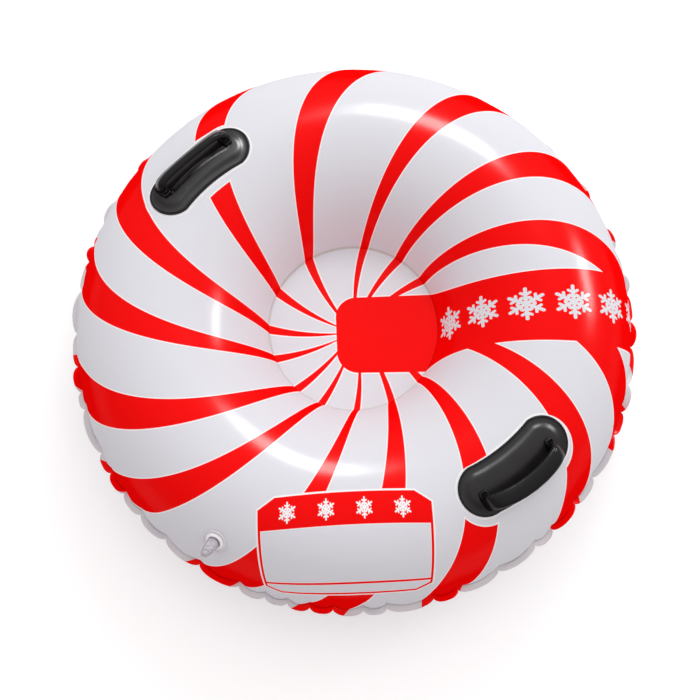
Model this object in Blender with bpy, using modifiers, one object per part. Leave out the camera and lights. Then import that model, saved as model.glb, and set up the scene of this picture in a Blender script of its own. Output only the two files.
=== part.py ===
"""Inflated snow tube: two vinyl sheets welded into a ring with a floor across its well,
two moulded grips on bean-shaped bases, and a push-in air valve with its plug and flap.

Metres, +Z up, origin on the ground under the middle. The rider faces +Y, and the grips
stand to the right (+X) and to the left (-X).
"""
import math
from math import cos, hypot, pi, radians, sin, sqrt, tau

import bmesh
import bpy
import numpy
from mathutils import Matrix, Vector

# Inflated ring
RIM_RADIUS = 0.440
RING_RADIUS = 0.135
TIGHTENING_SHARE = 0.4
SHEET = 0.0006
SETTLE = 0.0006
CLEARANCE = 0.0003

# Welded seams
WELD = 0.0012
WELD_ROOT = 0.002
RIM_FLANGE = 0.012
RING_WELD_WIDTH = 0.008
PUCKER_RISE = 0.004
NOTCH_SHARE = 0.35
PINCHES_SEEN = (0, 7, 13.5, 23.5, 28.5, 34.5, 42.5, 48, 54, 58.5, 63.5, 170, 178, 185, 190.5,
                197, 203.5, 208.5, 212, 218.5, 228, 235, 240.5, 244, 254, 258.5, 263.5, 269,
                276, 284.5, 293.5, 299, 303.5, 308, 312.5, 318.5, 323, 332.5, 337.5, 346.5,
                355.5)
PINCHES_OUT_OF_SIGHT = 17

# Grips and their bases, laid out in the plan view
RIGHT_GRIP_PAST_CREST = 0.041
LEFT_GRIP_PAST_CREST = 0.025
RIGHT_GRIP_ANGLE = radians(0)
LEFT_GRIP_ANGLE = radians(184.5)
GRIP_TWIST = radians(5)
BASE_SPINE = 0.056
BASE_HALF_WIDTH = 0.0385
BASE_BOW = 0.006
SKIRT = 0.0012
SKIRT_WIDTH = 0.0115
PAD = 0.0036
PAD_SHOULDER = 0.0035
BASE_CORE = 0.005
FOOT_REACH = 0.0620
FOOT_OUT = 0.009
BAR_OUT = 0.0175
BAR_RISE = 0.0235
BAR_WIDTH = 0.022
BAR_DEPTH = 0.011
FOOT_FLARE = 0.004
ARCH_SQUARENESS = 3.4
BAR_SQUARENESS = 3.0

# Air valve, on its own axis square to the skin, heights from the skin
VALVE_FROM_RIM = 0.1005
VALVE_ANGLE = radians(-73.5)
FLANGE_RADIUS = 0.019
FLANGE_PLATE = 0.0012
COLLAR_WALL = 0.0018
COLLAR_HEIGHT = 0.0040
VALVE_HOLE_MARGIN = 0.0008
STEM_ROOT_RADIUS = 0.0096
STEM_ROOT_HEIGHT = 0.0050
STEM_TAPER = 0.0030
STEM_RADIUS = 0.0070
STEM_BORE = 0.0045
STEM_HEIGHT = 0.0300
STEM_TAIL = 0.0060
STEM_LIP = 0.0012
STEM_LIP_REACH = 0.0030
PLUG_DEPTH = 0.0095
PLUG_CAP_RADIUS = 0.0064
PLUG_CAP_HEIGHT = 0.0070
PLUG_TIP_RADIUS = 0.0038
STRAP_WALL = 0.0011
STRAP_WIDTH = 0.0042
STRAP_RING_HEIGHT = 0.0022
STRAP_RING_DROP = 0.0090
STRAP_STAND_OFF = 0.0022
FLAP_THICKNESS = 0.0008
FLAP_OVERLAP = 0.0017
CUT_OVERRUN = 0.010

# Counts that set how fine the meshes are
TRACE_STEPS = 900
ROUND_STEPS = 60
SECTION_POINTS = 14
STEPS_TO_A_PUCKER = 5
LOBE_STEPS = 9
SIDE_STEPS = 6
BASE_BANDS = 3
BAR_RINGS = 17
BAR_SIDES = 12
VALVE_STEPS = 28

COLOURS = {
    "printed_vinyl": ((0.78, 0.79, 0.82), 0.22),
    "plain_vinyl": ((0.74, 0.75, 0.78), 0.30),
    "welded_vinyl": ((0.80, 0.06, 0.05), 0.28),
    "black_moulding": ((0.02, 0.02, 0.02), 0.20),
    "clear_moulding": ((0.80, 0.81, 0.84), 0.15),
}


def clear_scene():
    for item in list(bpy.data.objects):
        bpy.data.objects.remove(item, do_unlink=True)


def new_collection(name):
    group = bpy.data.collections.new(name)
    bpy.context.scene.collection.children.link(group)
    return group


def material(name, slot):
    colour, roughness = COLOURS[slot]
    result = bpy.data.materials.new(name)
    result.use_nodes = True
    shader = result.node_tree.nodes["Principled BSDF"]
    shader.inputs["Base Color"].default_value = (*colour, 1)
    shader.inputs["Roughness"].default_value = roughness
    shader.inputs["Metallic"].default_value = 0
    return result


def add_object(name, mesh, group, slot=None):
    item = bpy.data.objects.new(name, mesh)
    group.objects.link(item)
    if slot:
        mesh.materials.append(material(name, slot))
    return item


def evaluated_mesh(item):
    """The object's mesh with its modifiers applied, as a new mesh of its own."""
    graph = bpy.context.evaluated_depsgraph_get()
    graph.update()
    return bpy.data.meshes.new_from_object(item.evaluated_get(graph))


def turned(name, points, group, slot=None, steps=VALVE_STEPS):
    """A profile of (radius, height) points, outer side first and downwards, turned about Z.
    It closes on itself unless it starts or ends on the axis."""
    mesh = bpy.data.meshes.new(name)
    edges = [(i, i + 1) for i in range(len(points) - 1)]
    if points[0][0] > 0 and points[-1][0] > 0:
        edges.append((len(points) - 1, 0))
    mesh.from_pydata([(radius, 0, height) for radius, height in points], edges, [])
    item = add_object(name, mesh, group, slot)
    screw = item.modifiers.new("turn", "SCREW")
    screw.steps = steps
    screw.render_steps = steps
    screw.use_merge_vertices = True
    screw.merge_threshold = CLEARANCE / 10
    screw.use_smooth_shade = False
    return item


def loft(name, rings, group, slot):
    """Join rings of equally many points into a closed skin. Each end is closed by rungs
    from side to side, so it follows a curved surface as the rings do."""
    form = bmesh.new()
    loops = [[form.verts.new(point) for point in ring] for ring in rings]
    count = len(loops[0])
    for low, high in zip(loops, loops[1:]):
        for i in range(count):
            j = (i + 1) % count
            form.faces.new((low[i], low[j], high[j], high[i]))
    for ends in (loops[0], loops[-1]):
        for i in range(count // 2):
            corners = (ends[i], ends[i + 1], ends[count - 1 - i], ends[(count - i) % count])
            form.faces.new(list(dict.fromkeys(corners)))
    bmesh.ops.recalc_face_normals(form, faces=form.faces)
    mesh = bpy.data.meshes.new(name)
    form.to_mesh(mesh)
    form.free()
    return add_object(name, mesh, group, slot)


def walk_section(tightness):
    """Follow the skin from the rim seam over the crest until it is back at seam height.
    The skin turns faster the further out it is, because there it carries more air."""
    step = (RIM_RADIUS - RING_RADIUS) * 2 / TRACE_STEPS
    radius, height, lean = RIM_RADIUS, 0.0, 0.0
    track = [(0.0, radius, height, lean)]
    while height > 0 or lean < 1:
        turn = tightness * (max(radius, 0) / RIM_RADIUS) ** TIGHTENING_SHARE * step
        radius -= sin(lean + turn / 2) * step
        height += cos(lean + turn / 2) * step
        lean += turn
        track.append((track[-1][0] + step, radius, height, lean))
    before, after = numpy.array(track[-2]), numpy.array(track[-1])
    track[-1] = tuple(before + (after - before) * before[2] / (before[2] - after[2]))
    return numpy.array(track)


def inflated_section():
    """The section whose inner end lands on the ring round the well."""
    slack, tight = 1 / RIM_RADIUS, 100 / RIM_RADIUS
    for _ in range(50):
        middle = (slack + tight) / 2
        if walk_section(middle)[-1][1] > RING_RADIUS:
            tight = middle
        else:
            slack = middle
    return walk_section(tight)


SECTION = inflated_section()
ARCS, RADII, HEIGHTS, LEANS = SECTION.T
CREST = HEIGHTS.argmax()
SHEET_LIFT = WELD / 2 + CLEARANCE + SHEET
SEAM_HEIGHT = HEIGHTS[CREST] + SHEET_LIFT - SETTLE
GRIP_PLACES = {
    "right": (RADII[CREST] + RIGHT_GRIP_PAST_CREST, RIGHT_GRIP_ANGLE),
    "left": (RADII[CREST] + LEFT_GRIP_PAST_CREST, LEFT_GRIP_ANGLE),
}


def at_arc(arc):
    """Radius, height over the seam and lean of the skin at a distance from the rim."""
    return [float(numpy.interp(arc, ARCS, values)) for values in (RADII, HEIGHTS, LEANS)]


def on_skin(x, y, rise):
    """The point that stands a rise over the outer skin of the top sheet, square to it,
    seen from above at x, y. It holds between the crest and the rim."""
    distance = hypot(x, y)
    outer = slice(CREST, None, -1)
    height = float(numpy.interp(distance, RADII[outer], HEIGHTS[outer]))
    lean = float(numpy.interp(distance, RADII[outer], LEANS[outer]))
    inner = slice(CREST, None)
    if distance < RADII[CREST]:
        height = float(numpy.interp(-distance, -RADII[inner], HEIGHTS[inner]))
        lean = float(numpy.interp(-distance, -RADII[inner], LEANS[inner]))
    square = Vector((cos(lean) * x / distance, cos(lean) * y / distance, sin(lean)))
    return Vector((x, y, SEAM_HEIGHT + SHEET_LIFT + height)) + square * rise


def top_sheet(group, tools, valve_place):
    """One printed disc: it rises from the rim, rolls over the crest, goes down the well
    and runs on across it as the upper floor. The valve passes through a hole in it."""
    arcs = numpy.linspace(ARCS[-1], 0, SECTION_POINTS)
    profile = [(0, SHEET_LIFT)]
    profile += [(radius, height + SHEET_LIFT) for radius, height, _ in map(at_arc, arcs)]
    profile.append((RIM_RADIUS, SHEET_LIFT - SHEET))
    item = turned("top_sheet", profile, group, "printed_vinyl", ROUND_STEPS)
    item.location.z = SEAM_HEIGHT
    add_thickness(item)
    hole_radius = STEM_ROOT_RADIUS + STEM_LIP_REACH + VALVE_HOLE_MARGIN
    cutter = turned("valve_hole", [(0, CUT_OVERRUN), (hole_radius, CUT_OVERRUN),
                                   (hole_radius, -CUT_OVERRUN), (0, -CUT_OVERRUN)], tools)
    cutter.matrix_world = valve_place
    cutter.hide_render = True
    cutter.display_type = "WIRE"
    cut = item.modifiers.new("valve hole", "BOOLEAN")
    cut.operation = "DIFFERENCE"
    cut.solver = "EXACT"
    cut.object = cutter


def bottom_sheet(group):
    """The plain disc underneath. Where it stands on the ground it is flat."""
    ground = HEIGHTS[CREST] - SETTLE
    near = float(numpy.interp(ground, HEIGHTS[:CREST], ARCS[:CREST]))
    inner = slice(None, CREST, -1)
    far = float(numpy.interp(ground, HEIGHTS[inner], ARCS[inner]))
    arcs = list(numpy.linspace(0, near, SECTION_POINTS // 2))
    arcs += list(numpy.linspace(far, ARCS[-1], SECTION_POINTS // 2 + 1))
    profile = [(RIM_RADIUS, SHEET - SHEET_LIFT)]
    profile += [(radius, -height - SHEET_LIFT) for radius, height, _ in map(at_arc, arcs)]
    profile.append((0, -SHEET_LIFT))
    item = turned("bottom_sheet", profile, group, "plain_vinyl", ROUND_STEPS)
    item.location.z = SEAM_HEIGHT
    add_thickness(item)


def add_thickness(item):
    wall = item.modifiers.new("wall", "SOLIDIFY")
    wall.thickness = SHEET
    wall.offset = -1
    wall.use_even_offset = True


def pinch_angles():
    """Angles at which one pucker of the rim ends and the next begins: those that the
    photograph shows, and evenly spaced ones along the far side, which it hides."""
    angles = list(PINCHES_SEEN)
    gap = next(i for i in range(1, len(angles)) if angles[i] - angles[i - 1] > 90)
    first, last = angles[gap - 1], angles[gap]
    hidden = [first + (last - first) * (i + 1) / (PINCHES_OUT_OF_SIGHT + 1)
              for i in range(PINCHES_OUT_OF_SIGHT)]
    return [radians(angle) for angle in angles[:gap] + hidden + angles[gap:]]


def rim_weld(group):
    """The two sheets fused outside the rim: a narrow flange, gathered into round puckers
    because the flat discs are too long for the rim that the air pulls in. Puckers bend
    up and down by turns, and both faces are split along the same diagonals."""
    root = RIM_RADIUS - WELD_ROOT
    knee = RIM_RADIUS + CLEARANCE
    half = WELD / 2
    pinches = pinch_angles()
    form = bmesh.new()
    rings = []
    for place, start in enumerate(pinches):
        end = (pinches + [tau])[place + 1]
        for i in range(STEPS_TO_A_PUCKER):
            share = i / STEPS_TO_A_PUCKER
            angle = start + (end - start) * share
            swell = sqrt(abs(sin(pi * share)))
            reach = RIM_RADIUS + RIM_FLANGE * (1 - NOTCH_SHARE * (1 - swell))
            rise = PUCKER_RISE * (1 - 2 * (place % 2)) * sin(pi * share)
            section = [(knee, half), (root, 0), (knee, -half),
                       (reach, rise - half), (reach, rise + half)]
            rings.append([form.verts.new((cos(angle) * radius, sin(angle) * radius, height))
                          for radius, height in section])
    for ring, ahead in zip(rings, rings[1:] + rings[:1]):
        for i in range(len(ring)):
            j = (i + 1) % len(ring)
            corners = (ring[i], ring[j], ahead[j], ahead[i])
            from_outside = i == len(ring) - 1
            for split in ((0, 1, 3), (1, 2, 3)) if from_outside else ((0, 1, 2), (0, 2, 3)):
                form.faces.new([corners[k] for k in split])
    bmesh.ops.recalc_face_normals(form, faces=form.faces)
    mesh = bpy.data.meshes.new("rim_weld")
    form.to_mesh(mesh)
    form.free()
    flange = add_object("rim_weld", mesh, group, "welded_vinyl")
    flange.location.z = SEAM_HEIGHT


def well_weld(group):
    """The ring where the two sheets are fused round the well's floor."""
    outer, inner, half = RING_RADIUS, RING_RADIUS - RING_WELD_WIDTH, WELD / 2
    ring = turned("well_weld", [(outer, half), (outer, -half), (inner, -half), (inner, half)],
                  group, "welded_vinyl", ROUND_STEPS)
    ring.location.z = SEAM_HEIGHT


def grip_point(radius, along, across, rise):
    """A point of a grip that lies on +X: along the grip, outwards across it, over the skin."""
    x = radius + across * cos(GRIP_TWIST) + along * sin(GRIP_TWIST)
    y = along * cos(GRIP_TWIST) - across * sin(GRIP_TWIST)
    return on_skin(x, y, rise)


def bean_ring(radius, half_width, rise):
    """The outline of a grip's base, drawn at a distance round its bowed spine."""
    stations = []
    for i in range(LOBE_STEPS):
        stations.append((BASE_SPINE, -pi / 2 + pi * i / LOBE_STEPS))
    for i in range(SIDE_STEPS):
        stations.append((BASE_SPINE * (1 - 2 * i / SIDE_STEPS), pi / 2))
    stations += [(-spine, turn + pi) for spine, turn in stations]
    start = LOBE_STEPS // 2
    ring = []
    for spine, turn in stations[start:] + stations[:start]:
        along = spine + half_width * cos(turn)
        across = half_width * sin(turn) - BASE_BOW * (spine / BASE_SPINE) ** 2
        ring.append(grip_point(radius, along, across, rise))
    return ring


def grip_base(side, group):
    """The moulded base: a thin skirt welded to the skin all round a raised pad."""
    radius, angle = GRIP_PLACES[side]
    low, skirt, top = CLEARANCE, CLEARANCE + SKIRT, CLEARANCE + PAD
    inset = BASE_HALF_WIDTH - SKIRT_WIDTH
    shoulder = inset - PAD_SHOULDER
    under = [(BASE_CORE + (BASE_HALF_WIDTH - BASE_CORE) * i / BASE_BANDS, low)
             for i in range(BASE_BANDS + 1)]
    over = [(BASE_HALF_WIDTH, skirt), (inset, skirt), (shoulder, top),
            ((shoulder + BASE_CORE) / 2, top), (BASE_CORE, top)]
    rings = [bean_ring(radius, half_width, rise) for half_width, rise in under + over]
    base = loft(f"{side}_grip_base", rings, group, "black_moulding")
    base.rotation_euler.z = angle


def squared(value, squareness):
    """Pushes a circle's sine or cosine out towards a square with round corners."""
    return math.copysign(abs(value) ** (2 / squareness), value)


def grip(side, group):
    """The grip itself: a flat-backed bar that stands on two flared feet on the base's pad
    and bows outwards over it, with room for a gloved hand underneath."""
    radius, angle = GRIP_PLACES[side]
    seat = CLEARANCE + PAD + CLEARANCE
    route = []
    for i in range(BAR_RINGS):
        turn = pi * (1 - i / (BAR_RINGS - 1))
        along = squared(cos(turn), ARCH_SQUARENESS) * FOOT_REACH
        lift = squared(max(sin(turn), 0), ARCH_SQUARENESS) * BAR_RISE
        route.append(Vector((along, lift)))
    route[-1].y = 0
    rings = []
    for i, (along, lift) in enumerate(route):
        run = (route[min(i + 1, BAR_RINGS - 1)] - route[max(i - 1, 0)]).normalized()
        if i in (0, BAR_RINGS - 1):
            run = Vector((0, math.copysign(1, -along)))
        flare = FOOT_FLARE * max(0, 1 - lift / (BAR_RISE / 2)) ** 2
        middle = FOOT_OUT + (BAR_OUT - FOOT_OUT) * (1 - (along / FOOT_REACH) ** 2)
        ring = []
        for k in range(BAR_SIDES):
            turn = tau * (k + 0.5) / BAR_SIDES
            across = middle + (BAR_WIDTH / 2 + flare) * squared(cos(turn), BAR_SQUARENESS)
            deep = (BAR_DEPTH / 2 + flare) * squared(sin(turn), BAR_SQUARENESS)
            rise = seat + lift + deep * run.x
            ring.append(grip_point(radius, along - deep * run.y, across, rise))
        rings.append(ring)
    bar = loft(f"{side}_grip", rings, group, "black_moulding")
    bar.rotation_euler.z = angle


def valve_frame():
    """The valve's axis: its foot on the outer skin, its Z square to it."""
    radius, height, lean = at_arc(VALVE_FROM_RIM)
    foot = Vector((radius * cos(VALVE_ANGLE), radius * sin(VALVE_ANGLE),
                   SEAM_HEIGHT + SHEET_LIFT + height))
    return (Matrix.Translation(foot) @ Matrix.Rotation(VALVE_ANGLE, 4, "Z")
            @ Matrix.Rotation(pi / 2 - lean, 4, "Y"))


def valve(group, tools, place):
    """The valve's clear mouldings, each turned about the axis square to the skin."""
    axis = bpy.data.objects.new("valve_axis", None)
    axis.matrix_world = place
    tools.objects.link(axis)
    valve_flange(group).parent = axis
    valve_stem(group).parent = axis
    valve_plug(group).parent = axis
    plug_strap(group, tools).parent = axis
    check_flap(group).parent = axis


def valve_flange(group):
    """The disc welded over the hole, with a collar round the stem."""
    bore = STEM_ROOT_RADIUS + CLEARANCE
    collar = bore + COLLAR_WALL
    plate = CLEARANCE + FLANGE_PLATE
    return turned("valve_flange", [
        (FLANGE_RADIUS, plate), (FLANGE_RADIUS, CLEARANCE), (bore, CLEARANCE),
        (bore, COLLAR_HEIGHT), (collar, COLLAR_HEIGHT), (collar, plate)], group, "clear_moulding")


def valve_stem(group):
    """The blowing tube. Its lip stops it under the flange, and it sinks into the tube."""
    lip = STEM_ROOT_RADIUS + STEM_LIP_REACH
    return turned("valve_stem", [
        (STEM_RADIUS, STEM_HEIGHT), (STEM_RADIUS, STEM_ROOT_HEIGHT + STEM_TAPER),
        (STEM_ROOT_RADIUS, STEM_ROOT_HEIGHT), (STEM_ROOT_RADIUS, 0), (lip, 0),
        (lip, -STEM_LIP), (STEM_RADIUS, -STEM_LIP), (STEM_RADIUS, -STEM_TAIL),
        (STEM_BORE, -STEM_TAIL), (STEM_BORE, STEM_HEIGHT)], group, "clear_moulding")


def valve_plug(group):
    """The stopper in the stem's mouth, under its domed cap."""
    seat = STEM_HEIGHT + CLEARANCE
    stopper = STEM_BORE - CLEARANCE
    crown = seat + PLUG_CAP_HEIGHT
    return turned("valve_plug", [
        (0, crown), (PLUG_TIP_RADIUS, crown), (PLUG_CAP_RADIUS, seat + PLUG_CAP_HEIGHT / 2),
        (PLUG_CAP_RADIUS, seat), (stopper, seat), (stopper, seat - PLUG_DEPTH),
        (0, seat - PLUG_DEPTH)], group, "clear_moulding")


def plug_strap(group, tools):
    """The strap that keeps the plug on the stem: a ring round the stem and a flat band."""
    inner = STEM_RADIUS + CLEARANCE
    outer = inner + STRAP_WALL
    low = STEM_HEIGHT - STRAP_RING_DROP
    high = low + STRAP_RING_HEIGHT
    ring = turned("strap_ring", [(outer, high), (outer, low), (inner, low), (inner, high)], tools)
    ring.hide_render = True
    ring.display_type = "WIRE"
    cap_middle = STEM_HEIGHT + CLEARANCE + PLUG_CAP_HEIGHT / 4
    stand_off = STEM_RADIUS + STRAP_STAND_OFF
    route = [(inner + STRAP_WALL / 2, low + STRAP_RING_HEIGHT / 2), (stand_off, high + STRAP_WALL),
             (stand_off, STEM_HEIGHT - STRAP_WALL), (stand_off - STRAP_WALL / 2, cap_middle),
             (PLUG_CAP_RADIUS + CLEARANCE, cap_middle + STRAP_WALL / 2)]
    rings = []
    for i, (x, z) in enumerate(route):
        before, after = route[max(i - 1, 0)], route[min(i + 1, len(route) - 1)]
        run = Vector((after[0] - before[0], 0, after[1] - before[1])).normalized()
        if i == len(route) - 1:
            run = Vector((-1, 0, 0))
        side = Vector((0, STRAP_WIDTH / 2, 0))
        thick = side.normalized().cross(run) * STRAP_WALL / 2
        middle = Vector((x, 0, z))
        rings.append([middle + side + thick, middle - side + thick,
                      middle - side - thick, middle + side - thick])
    strap = loft("plug_strap", rings, group, "clear_moulding")
    join = strap.modifiers.new("strap ring", "BOOLEAN")
    join.operation = "UNION"
    join.solver = "EXACT"
    join.object = ring
    axis = tools.objects["valve_axis"]
    ring.parent = axis
    return strap


def check_flap(group):
    """The flap that closes the stem's inner end. It hangs from one side and swings in."""
    radius = STEM_BORE + FLAP_OVERLAP
    half = FLAP_THICKNESS / 2
    flap = turned("check_flap", [(0, half), (radius, half), (radius, -half), (0, -half)],
                  group, "clear_moulding")
    hinge_reach = radius - half
    mesh = evaluated_mesh(flap)
    flap.modifiers.clear()
    flap.data = mesh
    mesh.transform(Matrix.Translation((hinge_reach, 0, 0)))
    flap.location = (-hinge_reach, 0, -STEM_TAIL - CLEARANCE - half)
    return flap


def main():
    clear_scene()
    group = new_collection("snow_tube")
    tools = new_collection("cutters")
    place = valve_frame()
    top_sheet(group, tools, place)
    bottom_sheet(group)
    rim_weld(group)
    well_weld(group)
    for side in GRIP_PLACES:
        grip_base(side, group)
        grip(side, group)
    valve(group, tools, place)


main()
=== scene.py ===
from math import copysign, cos, hypot, pi, radians, sin, sqrt, tau

import bmesh
import bpy
import numpy
from mathutils import Matrix, Vector, noise


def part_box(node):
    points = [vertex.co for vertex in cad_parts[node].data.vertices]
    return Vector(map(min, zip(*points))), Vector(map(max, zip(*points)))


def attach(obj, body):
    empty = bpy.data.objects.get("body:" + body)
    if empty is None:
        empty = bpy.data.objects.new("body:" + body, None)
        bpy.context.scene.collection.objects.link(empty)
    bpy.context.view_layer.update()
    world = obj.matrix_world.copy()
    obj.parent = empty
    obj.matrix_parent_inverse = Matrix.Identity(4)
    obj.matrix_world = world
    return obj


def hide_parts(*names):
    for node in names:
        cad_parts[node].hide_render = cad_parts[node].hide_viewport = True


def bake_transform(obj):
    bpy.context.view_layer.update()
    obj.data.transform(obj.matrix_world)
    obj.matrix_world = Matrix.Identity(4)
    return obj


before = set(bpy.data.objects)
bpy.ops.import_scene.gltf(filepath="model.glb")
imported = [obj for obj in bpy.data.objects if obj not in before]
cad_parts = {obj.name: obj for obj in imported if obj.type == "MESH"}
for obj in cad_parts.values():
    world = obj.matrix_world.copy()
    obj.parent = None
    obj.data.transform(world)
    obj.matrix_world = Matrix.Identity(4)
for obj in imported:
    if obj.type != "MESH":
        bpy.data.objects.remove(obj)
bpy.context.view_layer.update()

# Printed top sheet
# One disc of glossy white vinyl. It rises from the rim, rolls over the crest, goes down the
# well and runs on across it as the floor. The swirl was printed on it while it lay flat.
# Air pulls it smooth, but for soft dents and the gathers where it meets the rim.
ring_low, ring_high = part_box("well_weld")
RIM_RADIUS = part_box("top_sheet")[1].x
RING_RADIUS = ring_high.x
SEAM_HEIGHT = (ring_low.z + ring_high.z) / 2
SHEET_LIFT = 0.0015
TIGHTENING_SHARE = 0.4
TRACE_STEPS = 900
SLACKEST_SHARE, TIGHTEST_SHARE = 1, 100
HALVINGS = 50
PINCH_REACH = 0.004, 0.009
STEPS_TO_A_PUCKER = 12
PINCH_DEPTH = 0.0075
PINCH_FADE = 0.017
LOBE_BULGE = 0.0020
LOBE_TILT = 0.0022
DENT_DEPTH = 0.0013
DENT_LENGTH = 0.16
DENT_START = 0.022
RIM_ROW = 0.0022
SKIN_ROW = 0.0055
GATHERED_ROWS = 20
CREASE_ROWS = 0.0006, 0.0014, 0.0026, 0.0042
FLOOR_ROWS = 8


def walk_section(tightness):
    """Follow the skin from the rim seam over the crest until it is back at seam height.
    The skin turns faster the further out it is, because there it carries more air."""
    step = (RIM_RADIUS - RING_RADIUS) * 2 / TRACE_STEPS
    radius, height, lean = RIM_RADIUS, 0.0, 0.0
    track = [(0.0, radius, height, lean)]
    while height > 0 or lean < 1:
        turn = tightness * (max(radius, 0) / RIM_RADIUS) ** TIGHTENING_SHARE * step
        radius -= sin(lean + turn / 2) * step
        height += cos(lean + turn / 2) * step
        lean += turn
        track.append((track[-1][0] + step, radius, height, lean))
    before, after = numpy.array(track[-2]), numpy.array(track[-1])
    track[-1] = tuple(before + (after - before) * before[2] / (before[2] - after[2]))
    return numpy.array(track)


def inflated_section():
    """The section whose inner end lands on the ring round the well."""
    slack, tight = SLACKEST_SHARE / RIM_RADIUS, TIGHTEST_SHARE / RIM_RADIUS
    for _ in range(HALVINGS):
        middle = (slack + tight) / 2
        if walk_section(middle)[-1][1] > RING_RADIUS:
            tight = middle
        else:
            slack = middle
    return walk_section(tight)


ARCS, RADII, HEIGHTS, LEANS = inflated_section().T
CREST = HEIGHTS.argmax()
FLAT_RIM = ARCS[-1] + RING_RADIUS


def at_arc(arc):
    """Radius, height over the seam and lean of the skin at a distance from the rim."""
    return [float(numpy.interp(arc, ARCS, values)) for values in (RADII, HEIGHTS, LEANS)]


def pinches_of(weld):
    """Angles at which the weld's edge is drawn in between two puckers, to a tenth degree."""
    points = numpy.array([vertex.co for vertex in weld.data.vertices])
    past_rim = numpy.hypot(points[:, 0], points[:, 1]) - RIM_RADIUS
    drawn_in = (past_rim > PINCH_REACH[0]) & (past_rim < PINCH_REACH[1])
    angles = numpy.degrees(numpy.arctan2(points[drawn_in, 1], points[drawn_in, 0]))
    return sorted({radians(round(float(angle), 1) % 360) for angle in angles})


def rim_columns():
    """For each column of points round the rim: its angle, how far it swells out between
    two pinches, whether its pucker bends up or down, and the pucker's length."""
    pinches = pinches_of(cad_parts["rim_weld"])
    columns = []
    for place, start in enumerate(pinches):
        end = (pinches + [pinches[0] + tau])[place + 1]
        for i in range(STEPS_TO_A_PUCKER):
            share = (1 - cos(pi * i / STEPS_TO_A_PUCKER)) / 2
            columns.append((start + (end - start) * share, sin(pi * share),
                            1 - 2 * (place % 2), (end - start) * RIM_RADIUS))
    return columns


COLUMNS = rim_columns()
MEAN_PUCKER = tau * RIM_RADIUS * STEPS_TO_A_PUCKER / len(COLUMNS)


def gathered(arc, column):
    """How far the skin stands out and up from its even shape, near the rim."""
    _, swell, bend, length = column
    fade = numpy.exp(-arc / PINCH_FADE)
    depth = PINCH_DEPTH * sqrt(length / MEAN_PUCKER)
    out = LOBE_BULGE * swell - depth * (1 - sqrt(abs(swell)))
    return out * fade, LOBE_TILT * bend * swell * fade


def skin_point(arc, column, side=1):
    """A point of the inflated skin, above the seam or, for side -1, below it."""
    angle = column[0]
    radius, height, lean = at_arc(arc)
    out, up = gathered(arc, column)
    spot = Vector((radius * cos(angle), radius * sin(angle), height * side))
    dent = DENT_DEPTH * noise.noise(spot / DENT_LENGTH) * min(1, arc / DENT_START)
    radius += out + dent * cos(lean)
    height += dent * sin(lean)
    return (radius * cos(angle), radius * sin(angle),
            SEAM_HEIGHT + side * (SHEET_LIFT + height) + up)


def skin_rows():
    """Distances from the rim at which the skin has a row of points."""
    arcs = [RIM_ROW * i for i in range(GATHERED_ROWS)]
    left = ARCS[-1] - CREASE_ROWS[-1] - arcs[-1]
    steps = round(left / SKIN_ROW)
    arcs += [arcs[-1] + left * i / steps for i in range(1, steps + 1)]
    return arcs + [ARCS[-1] - gap for gap in CREASE_ROWS[-2::-1]] + [ARCS[-1]]


def floor_rows():
    """Radii at which the floor has a row of points, the widest first."""
    close = [RING_RADIUS - gap for gap in CREASE_ROWS]
    return close + [close[-1] * (1 - i / FLOOR_ROWS) for i in range(1, FLOOR_ROWS)]


def grid_mesh(name, rows, pole=None):
    """A smooth skin through rows of equally many points, each row closed on itself. A pole
    closes the last row."""
    count = len(rows[0])
    points = [tuple(point) for row in rows for point in row]
    faces = []
    for row in range(len(rows) - 1):
        for i in range(count):
            j = (i + 1) % count
            near, far = row * count, (row + 1) * count
            faces.append((near + i, near + j, far + j, far + i))
    if pole is not None:
        last = (len(rows) - 1) * count
        faces += [(last + i, last + (i + 1) % count, len(points)) for i in range(count)]
        points.append(tuple(pole))
    mesh = bpy.data.meshes.new(name)
    mesh.from_pydata(points, [], faces)
    mesh.shade_smooth()
    return mesh


def add_piece(name, mesh, material, body, slot, *nodes):
    """A piece of the object: it rides on a body and stands for the CAD nodes."""
    piece = bpy.data.objects.new(name, mesh)
    bpy.context.scene.collection.objects.link(piece)
    mesh.materials.clear()
    mesh.materials.append(material)
    if body:
        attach(piece, body)
    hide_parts(*nodes)
    return piece


def sheet_mesh(name, side=1):
    """One sheet: the inflated skin and the flat floor inside it."""
    rows = [[skin_point(arc, column, side) for column in COLUMNS] for arc in skin_rows()]
    height = SEAM_HEIGHT + side * SHEET_LIFT
    for radius in floor_rows():
        rows.append([(radius * cos(column[0]), radius * sin(column[0]), height)
                     for column in COLUMNS])
    return grid_mesh(name, rows, (0, 0, height))


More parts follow.
